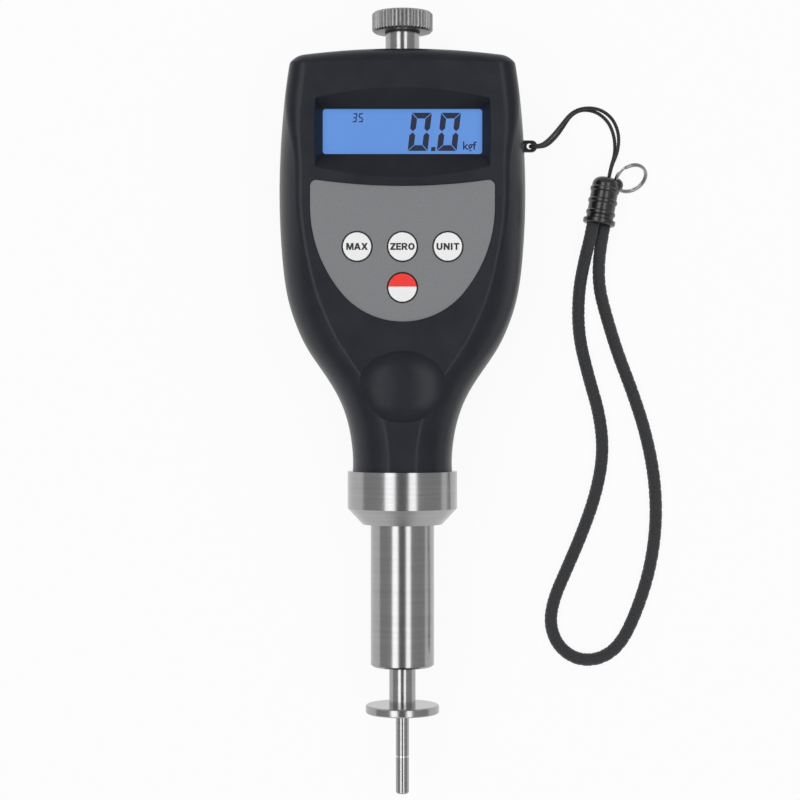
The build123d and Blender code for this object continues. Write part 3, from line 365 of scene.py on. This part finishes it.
def spline_points(name, route):
    """Points on the smooth NURBS spline whose control points are the route's, in mm."""
    data = bpy.data.curves.new(name, "CURVE")
    data.dimensions = "3D"
    data.resolution_u = SPLINE_STEPS
    line = data.splines.new("NURBS")
    line.points.add(len(route) - 1)
    for point, place_mm in zip(line.points, route):
        point.co = (*(c * MM for c in place_mm), 1)
    line.order_u = SPLINE_ORDER
    line.use_endpoint_u = True
    obj = bpy.data.objects.new(name, data)
    scene.collection.objects.link(obj)
    bpy.context.view_layer.update()
    mesh = bpy.data.meshes.new_from_object(obj)
    points = np.array([v.co[:] for v in mesh.vertices]) / MM
    bpy.data.objects.remove(obj)
    bpy.data.meshes.remove(mesh)
    return points


def even(points, step):
    """The same line with points about a step apart, and the length so far at each."""
    gaps = np.linalg.norm(np.diff(points, axis=0), axis=1)
    along = np.concatenate([[0], np.cumsum(gaps)])
    marks = np.linspace(0, along[-1], int(along[-1] / step) + 1)
    return np.stack([np.interp(marks, along, points[:, i]) for i in range(3)], 1), marks


def carried_frames(points):
    """Two directions across the line at each point, carried along it without twist."""
    ahead = np.gradient(points, axis=0)
    ahead /= np.linalg.norm(ahead, axis=1)[:, None]
    across = [np.cross(ahead[0], (0, 0, 1.0))]
    for way in ahead:
        side = across[-1] - way * np.dot(across[-1], way)
        across.append(side / np.linalg.norm(side))
    across = np.array(across[1:])
    return across, np.cross(ahead, across)


def strand(points, across, up, angle, offset, width, thickness, sides):
    """One strand's tube: angle and offset give its middle round the line at each point."""
    out = across * np.cos(angle)[:, None] + up * np.sin(angle)[:, None]
    middle = points + out * offset[:, None]
    ahead = np.gradient(middle, axis=0)
    ahead /= np.linalg.norm(ahead, axis=1)[:, None]
    side = np.cross(ahead, out)
    side /= np.linalg.norm(side, axis=1)[:, None]
    verts = []
    for k in range(sides):
        turn = 2 * pi * k / sides
        verts.append(middle + side * (width * cos(turn)) + out * (thickness * sin(turn)))
    verts = np.stack(verts, 1).reshape(-1, 3)
    faces = []
    for i in range(len(points) - 1):
        for k in range(sides):
            a = i * sides + k
            b = i * sides + (k + 1) % sides
            faces.append((a, b, b + sides, a + sides))
    faces.append(tuple(range(sides))[::-1])
    faces.append(tuple(range((len(points) - 1) * sides, len(points) * sides)))
    return verts, faces


def joined(name, strands, mat):
    """Several strands as one mesh object."""
    verts = []
    faces = []
    for strand_verts, strand_faces in strands:
        base = len(verts)
        verts.extend(strand_verts.tolist())
        faces.extend(tuple(base + i for i in face) for face in strand_faces)
    return mesh_object(name, verts, faces, mat)


# ---------------------------------------------------------------- strap

cap_mouth = Vector((52.95, -6.95, 4.40))
cap_top = Vector((55.30, 5.75, 3.85))
cap_axis = (cap_top - cap_mouth).normalized()
cap_length = (cap_top - cap_mouth).length
cap_side = cap_axis.cross(Vector((0, 0, 1))).normalized()
cap_up = cap_side.cross(cap_axis)


def by_cap(along, across, up):
    """A place beside the cord cap's axis, measured from the middle of its mouth."""
    return tuple(cap_mouth + cap_axis * along + cap_side * across + cap_up * up)


loop_route = [
    by_cap(0, -1.61, 0.8),
    by_cap(-4, -1.61, 0.8),
    (49.30, -16.20, 3.40),
    (47.70, -25.20, 1.85),
    (47.70, -36.60, 1.80),
    (50.40, -47.80, 1.80),
    (53.50, -58.30, 1.80),
    (54.50, -68.60, 1.80),
    (52.60, -79.40, 1.80),
    (48.90, -90.00, 1.80),
    (44.60, -100.00, 1.80),
    (41.00, -108.20, 1.80),
    (39.90, -115.00, 1.80),
    (42.20, -121.10, 1.80),
    (47.50, -124.80, 1.80),
    (53.90, -124.50, 1.80),
    (59.30, -120.40, 1.80),
    (63.60, -111.40, 1.80),
    (67.20, -100.00, 1.80),
    (68.90, -87.60, 1.80),
    (68.40, -75.20, 1.80),
    (65.90, -62.80, 1.80),
    (62.20, -51.60, 1.80),
    (58.20, -41.20, 1.80),
    (55.00, -30.60, 1.80),
    (53.35, -24.00, 1.90),
    (53.10, -17.40, 2.60),
    by_cap(-4, 1.61, -0.8),
    by_cap(0, 1.61, -0.8),
]
lanyard_route = [
    by_cap(cap_length, 0.5, -0.53),
    by_cap(cap_length + 3, 0.5, -0.53),
    (57.55, 11.90, 1.25),
    (57.80, 14.90, 0.60),
    (57.40, 17.90, 0.60),
    (56.12, 21.00, 0.60),
    (53.84, 23.29, 0.60),
    (51.12, 24.43, 0.60),
    (48.26, 24.45, 0.65),
    (45.65, 22.85, 1.40),
    (43.70, 19.81, 3.40),
    (41.42, 16.42, 6.60),
    (38.60, 13.60, 10.20),
    (36.40, 12.95, 12.50),
    (33.95, 12.95, 12.50),
    (33.95, 12.95, 15.40),
    (36.30, 12.95, 15.40),
    (38.30, 14.30, 13.10),
    (40.83, 17.17, 9.00),
    (43.23, 20.35, 5.20),
    (45.50, 23.20, 2.95),
    (48.18, 24.68, 1.95),
    (51.30, 24.98, 1.70),
    (54.45, 24.25, 1.00),
    (57.12, 22.10, 0.65),
    (58.55, 19.00, 0.60),
    (58.85, 15.82, 0.85),
    (58.10, 12.20, 2.80),
    by_cap(cap_length + 3, 0.5, 0.53),
    by_cap(cap_length, 0.5, 0.53),
]

# braided loop: eight strands each way, over and under, round a core
CORE_RADIUS = 1.42
CORE_OFFSET = 0.001
BRAID_RADIUS = 1.50
BRAID_TURN = 11.0
CARRIERS = 8
WEAVE_HEIGHT = 0.09

loop_line, loop_marks = even(spline_points("loop_line", loop_route), step=0.45)
loop_across, loop_up = carried_frames(loop_line)
plain_angle = np.zeros(len(loop_line))
plain_offset = np.zeros(len(loop_line)) + CORE_OFFSET
core = strand(
    loop_line, loop_across, loop_up, plain_angle, plain_offset, CORE_RADIUS, CORE_RADIUS, sides=14
)
strands = [core]
for way in (1, -1):
    for k in range(CARRIERS):
        angle = way * 2 * pi * loop_marks / BRAID_TURN + 2 * pi * k / CARRIERS
        weave = np.cos(CARRIERS * 2 * pi * loop_marks / BRAID_TURN + pi * k)
        offset = BRAID_RADIUS + WEAVE_HEIGHT * way * weave
        strands.append(
            strand(
                loop_line, loop_across, loop_up, angle, offset, width=0.47, thickness=0.16, sides=8
            )
        )
braid = joined("wrist_braid", strands, braid_cloth)

# thin cord: three strands laid round each other
THIN_LAY = 2.1
THIN_STRANDS = 3
THIN_OFFSET = 0.225
THIN_RADIUS = 0.275

thin_line, thin_marks = even(spline_points("thin_line", lanyard_route), step=0.16)
thin_across, thin_up = carried_frames(thin_line)
strands = []
for k in range(THIN_STRANDS):
    angle = 2 * pi * thin_marks / THIN_LAY + 2 * pi * k / THIN_STRANDS
    offset = np.full(len(thin_line), THIN_OFFSET)
    strands.append(
        strand(thin_line, thin_across, thin_up, angle, offset, THIN_RADIUS, THIN_RADIUS, sides=8)
    )
thin_cord = joined("thin_cord", strands, cord_cloth)

# split ring: two turns of wire side by side, stepping over where the turns meet
RING_MIDDLE = Vector((61.70, 5.62, 3.60))
RING_RADIUS = 4.35
RING_HEADING = radians(25)
RING_TILT = radians(46.5)
RING_TURNS = 1.92
RING_STEPS = 150
RING_START = 2.2
COIL_GAP = 0.50
STEP_FROM = 0.86
STEP_LENGTH = 0.2

ring_along = Vector((cos(RING_HEADING), sin(RING_HEADING), 0))
ring_across = Vector(
    (
        -sin(RING_HEADING) * cos(RING_TILT),
        cos(RING_HEADING) * cos(RING_TILT),
        sin(RING_TILT),
    )
)
ring_normal = ring_along.cross(ring_across)
ring_line = []
for i in range(RING_STEPS):
    turn = RING_TURNS * i / (RING_STEPS - 1)
    rise = COIL_GAP * (min(max((turn - STEP_FROM) / STEP_LENGTH, 0), 1) - 0.5)
    spin = 2 * pi * turn + RING_START
    out = cos(spin) * ring_along + sin(spin) * ring_across
    ring_line.append(RING_MIDDLE + RING_RADIUS * out + rise * ring_normal)
ring_line = np.array([p[:] for p in ring_line])
ring_up = np.tile(np.array(ring_normal[:]), (RING_STEPS, 1))
ring_out = ring_line - np.array(RING_MIDDLE[:])
ring_out /= np.linalg.norm(ring_out, axis=1)[:, None]
centred = np.zeros(RING_STEPS)
wire = strand(
    ring_line, ring_out, ring_up, centred, centred, width=0.25, thickness=0.42, sides=10
)
ring = joined("split_ring_turns", [wire], bright_ring)

for piece, name in ((braid, "wrist_loop"), (thin_cord, "lanyard_cord"), (ring, "split_ring")):
    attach(piece, "housing")
    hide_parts(name)

# ---------------------------------------------------------------- display figures

SEGMENTS = {"0": "abcdef", "3": "abcdg", "5": "acdfg"}
FIGURE_Z = 22.44
FIGURE_SLANT = 0.115
SEGMENT_GAP = 0.09


def figure(name, character, left, low, width, height, bar):
    """A seven-segment figure of flat bars, mitred at the corners and leaning right. In mm."""
    gap = SEGMENT_GAP * bar
    half = bar / 2
    middle = height / 2
    upright = [
        (0, height - gap),
        (bar, height - bar - gap),
        (bar, middle + half + gap),
        (half, middle + gap),
        (0, middle + half + gap),
    ]
    level_bar = [
        (gap, height),
        (width - gap, height),
        (width - bar - gap, height - bar),
        (bar + gap, height - bar),
    ]
    centre_bar = [
        (half + gap, middle),
        (bar + gap, middle + half),
        (width - bar - gap, middle + half),
        (width - half - gap, middle),
        (width - bar - gap, middle - half),
        (bar + gap, middle - half),
    ]
    outlines = {
        "a": level_bar,
        "b": [(width - x, y) for x, y in upright],
        "c": [(width - x, height - y) for x, y in upright],
        "d": [(x, height - y) for x, y in level_bar],
        "e": [(x, height - y) for x, y in upright],
        "f": upright,
        "g": centre_bar,
    }
    verts = []
    faces = []
    for segment in SEGMENTS[character]:
        outline = outlines[segment]
        faces.append(tuple(range(len(verts), len(verts) + len(outline))))
        verts.extend((left + x + FIGURE_SLANT * y, low + y, FIGURE_Z) for x, y in outline)
    return mesh_object(name, verts, faces, digit_ink, smooth=False)


LARGE = {"low": 10.75, "width": 5.2, "height": 9.95, "bar": 1.5}
SMALL = {"low": 18.2, "width": 1.2, "height": 2.4, "bar": 0.34}
figures = [
    figure("figure_first", "0", left=1.35, **LARGE),
    figure("figure_second", "0", left=8.95, **LARGE),
    figure("figure_small_a", "3", left=-13.2, **SMALL),
    figure("figure_small_b", "5", left=-11.6, **SMALL),
]
point_corners = ((7.45, 10.7), (8.55, 10.7), (8.65, 11.75), (7.55, 11.75))
point_verts = [(x, y, FIGURE_Z) for x, y in point_corners]
figures.append(mesh_object("figure_point", point_verts, [(0, 1, 2, 3)], digit_ink, smooth=False))

PRINT_DEPTH = 0.012


def print_object(name, data, mat, middle_x, middle_y, level):
    """The object of a flat print, with its middle at a place in mm."""
    data.extrude = PRINT_DEPTH * MM
    data.materials.append(mat)
    obj = bpy.data.objects.new(name, data)
    obj.location = (middle_x * MM, middle_y * MM, level * MM)
    scene.collection.objects.link(obj)
    return obj


UNIT_SIZE = 3.0
UNIT_WEIGHT = 0.05
UNIT_X = 17.4
UNIT_Y = 12.0

unit_text = bpy.data.curves.new("unit_word", "FONT")
unit_text.body = "kgf"
unit_text.size = UNIT_SIZE * MM
unit_text.offset = UNIT_WEIGHT * MM
unit_text.align_x = "CENTER"
unit_text.align_y = "CENTER"
figures.append(print_object("unit_word", unit_text, digit_ink, UNIT_X, UNIT_Y, FIGURE_Z))
for piece in figures:
    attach(piece, "housing")

# ---------------------------------------------------------------- key legends

STEM = 0.23
BAR = 0.19
BOW_STEPS = 12


def bow(middle_x, middle_y, reach_x, reach_y, start, end):
    """Points along part of an ellipse, angles in degrees."""
    turns = [radians(start + (end - start) * i / BOW_STEPS) for i in range(BOW_STEPS + 1)]
    return [(middle_x + reach_x * cos(turn), middle_y + reach_y * sin(turn)) for turn in turns]


# each letter: its width and its closed outlines, for a height of 1
LETTERS = {
    "A": (
        0.98,
        [(0, 0), (0.25, 0), (0.32, 0.20), (0.66, 0.20), (0.73, 0), (0.98, 0), (0.63, 1), (0.35, 1)],
        [(0.39, 0.38), (0.59, 0.38), (0.49, 0.72)],
    ),
    "E": (
        0.72,
        [(0, 0), (0.72, 0), (0.72, BAR), (STEM, BAR), (STEM, 0.41), (0.66, 0.41), (0.66, 0.59)]
        + [(STEM, 0.59), (STEM, 1 - BAR), (0.72, 1 - BAR), (0.72, 1), (0, 1)],
    ),
    "I": (STEM, [(0, 0), (STEM, 0), (STEM, 1), (0, 1)]),
    "M": (
        1.06,
        [(0, 0), (0.21, 0), (0.21, 0.60), (0.43, 0), (0.63, 0), (0.85, 0.60), (0.85, 0), (1.06, 0)]
        + [(1.06, 1), (0.76, 1), (0.53, 0.34), (0.30, 1), (0, 1)],
    ),
    "N": (
        0.88,
        [(0, 0), (STEM, 0), (STEM, 0.60), (0.88 - STEM, 0), (0.88, 0), (0.88, 1), (0.88 - STEM, 1)]
        + [(0.88 - STEM, 0.40), (STEM, 1), (0, 1)],
    ),
    "O": (0.96, bow(0.48, 0.5, 0.48, 0.52, 0, 340), bow(0.48, 0.5, 0.24, 0.31, 0, 340)),
    "R": (
        0.86,
        [(0, 0), (STEM, 0), (STEM, 0.37), (0.36, 0.37), (0.58, 0), (0.86, 0), (0.61, 0.42)]
        + bow(0.50, 0.695, 0.32, 0.305, -60, 90)
        + [(0, 1)],
        [(STEM, 0.56)] + bow(0.46, 0.695, 0.12, 0.135, -90, 90) + [(STEM, 0.83)],
    ),
    "T": (
        0.82,
        [(0, 1), (0, 1 - BAR), (0.295, 1 - BAR), (0.295, 0), (0.525, 0), (0.525, 1 - BAR)]
        + [(0.82, 1 - BAR), (0.82, 1)],
    ),
    "U": (
        0.86,
        [(0, 1)]
        + bow(0.43, 0.38, 0.43, 0.40, 180, 360)
        + [(0.86, 1), (0.86 - STEM, 1)]
        + bow(0.43, 0.38, 0.43 - STEM, 0.20, 360, 180)
        + [(STEM, 1)],
    ),
    "X": (
        0.95,
        [(0, 0), (0.28, 0), (0.475, 0.33), (0.67, 0), (0.95, 0), (0.63, 0.51), (0.93, 1)]
        + [(0.66, 1)]
        + [(0.475, 0.69), (0.29, 1), (0.02, 1), (0.32, 0.51)],
    ),
    "Z": (
        0.78,
        [(0, 0), (0.78, 0), (0.78, BAR), (0.32, BAR), (0.78, 0.83), (0.78, 1), (0.03, 1)]
        + [(0.03, 1 - BAR), (0.46, 1 - BAR), (0, 0.17)],
    ),
}


KEY_PITCH = 11.75
KEY_ROW = -14.6
POWER_ROW = -25.2
PANEL_TOP = 27.5
SHADE_RING_LIFT = 0.02
SHADE_RING_RADII = (3.86, 4.08)
SHADE_RING_STEPS = 64
LEGEND_Z = 27.915
LEGEND_HEIGHT = 1.72
LEGEND_WEIGHT = 0.035


def legend_word(name, text, middle_x, gap):
    """A word of bold capitals, filled from their outlines. Each later outline is a hole."""
    data = bpy.data.curves.new(name, "CURVE")
    data.dimensions = "2D"
    data.fill_mode = "BOTH"
    data.offset = LEGEND_WEIGHT * MM
    scale = LEGEND_HEIGHT * MM
    x = -(sum(LETTERS[letter][0] for letter in text) + gap * (len(text) - 1)) / 2
    for letter in text:
        width, *outlines = LETTERS[letter]
        for index, outline in enumerate(outlines):
            corners = outline[::-1] if index else outline
            line = data.splines.new("POLY")
            line.points.add(len(corners) - 1)
            for point, (across, up) in zip(line.points, corners):
                point.co = ((x + across) * scale, (up - 0.5) * scale, 0, 1)
            line.use_cyclic_u = True
        x += width + gap
    return print_object(name, data, ink_and_ring_shade, middle_x, KEY_ROW, LEGEND_Z)


# painted shade: a dark ring on the panel round each key, where the gap round it lies in shadow
shade_ring_verts = []
shade_ring_faces = []
for x, y in ((-KEY_PITCH, KEY_ROW), (0, KEY_ROW), (KEY_PITCH, KEY_ROW), (0, POWER_ROW)):
    first = len(shade_ring_verts)
    for i in range(SHADE_RING_STEPS):
        turn = 2 * pi * i / SHADE_RING_STEPS
        for radius in SHADE_RING_RADII:
            across = x + radius * cos(turn)
            shade_ring_verts.append((across, y + radius * sin(turn), PANEL_TOP + SHADE_RING_LIFT))
        here = first + 2 * i
        after = first + 2 * ((i + 1) % SHADE_RING_STEPS)
        shade_ring_faces.append((here, here + 1, after + 1, after))
key_shade_rings = mesh_object("key_shade_rings", shade_ring_verts, shade_ring_faces, ink_and_ring_shade, smooth=False)
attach(key_shade_rings, "housing")

for name, text, x, gap in (
    ("max_key", "MAX", -KEY_PITCH, 0.10),
    ("zero_key", "ZERO", 0.0, 0.11),
    ("unit_key", "UNIT", KEY_PITCH, 0.20),
):
    legend = legend_word(f"{name}_legend", text, x, gap)
    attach(legend, name)

# ---------------------------------------------------------------- studio

FLOOR_SIZE = 4000
FLOOR_Z = -0.05
FLOOR_GLOW_SHARE = 0.92

# the floor is plain white to the camera and in reflections, and keeps some of its shadow
floor_mat, floor_bsdf = shader("floor_white", (0.86, 0.86, 0.86), 0.9)
floor_bsdf.inputs["Specular IOR Level"].default_value = 0.0
links = floor_mat.node_tree.links
path = add_node(floor_mat, "ShaderNodeLightPath")
seen = add_node(floor_mat, "ShaderNodeMath", operation="MAXIMUM")
seen_too = add_node(floor_mat, "ShaderNodeMath", operation="MAXIMUM")
share = add_node(floor_mat, "ShaderNodeMath", operation="MULTIPLY")
share.inputs[1].default_value = FLOOR_GLOW_SHARE
white = add_node(floor_mat, "ShaderNodeEmission", Strength=1.0)
floor_mix = add_node(floor_mat, "ShaderNodeMixShader")
links.new(path.outputs["Is Camera Ray"], seen.inputs[0])
links.new(path.outputs["Is Glossy Ray"], seen.inputs[1])
links.new(seen.outputs["Value"], seen_too.inputs[0])
links.new(path.outputs["Is Transmission Ray"], seen_too.inputs[1])
links.new(seen_too.outputs["Value"], share.inputs[0])
links.new(share.outputs["Value"], floor_mix.inputs["Fac"])
links.new(floor_bsdf.outputs["BSDF"], floor_mix.inputs[1])
links.new(white.outputs["Emission"], floor_mix.inputs[2])
floor_out = floor_mat.node_tree.nodes["Material Output"]
links.new(floor_mix.outputs["Shader"], floor_out.inputs["Surface"])
floor_corners = ((-1, -1), (1, -1), (1, 1), (-1, 1))
floor_verts = [(x * FLOOR_SIZE, y * FLOOR_SIZE, FLOOR_Z) for x, y in floor_corners]
floor = mesh_object("floor", floor_verts, [(0, 1, 2, 3)], floor_mat, smooth=False)

# the sky: grey, and darker straight above
SKY_GREY = (0.45, 0.45, 0.45, 1)
ZENITH_GREY = (0.18, 0.18, 0.18, 1)
SKY_HEIGHT = 0.80
ZENITH_HEIGHT = 0.97

world = bpy.data.worlds.new("studio")
world.use_nodes = True
scene.world = world
world_nodes = world.node_tree.nodes
background = world_nodes["Background"]
direction = world_nodes.new("ShaderNodeTexCoord")
height = world_nodes.new("ShaderNodeSeparateXYZ")
shade = world_nodes.new("ShaderNodeValToRGB")
shade.color_ramp.elements[0].position = SKY_HEIGHT
shade.color_ramp.elements[0].color = SKY_GREY
shade.color_ramp.elements[1].position = ZENITH_HEIGHT
shade.color_ramp.elements[1].color = ZENITH_GREY
links = world.node_tree.links
links.new(direction.outputs["Generated"], height.inputs["Vector"])
links.new(height.outputs["Z"], shade.inputs["Fac"])
links.new(shade.outputs["Color"], background.inputs["Color"])
background.inputs["Strength"].default_value = 1.0


def softbox(name, location, width, length, power):
    """A rectangular lamp that leans towards the housing, with its long side along Y."""
    data = bpy.data.lights.new(name, "AREA")
    data.shape = "RECTANGLE"
    data.size = width
    data.size_y = length
    data.energy = power
    obj = bpy.data.objects.new(name, data)
    obj.location = location
    obj.rotation_euler = (0, atan2(location[0], location[2]), 0)
    obj.visible_camera = False
    scene.collection.objects.link(obj)
    return obj


softbox("softbox_left", (-0.595, -0.05, 1.25), width=0.53, length=1.8, power=7.2)
softbox("softbox_right", (0.48, -0.05, 1.25), width=0.39, length=1.8, power=5.3)
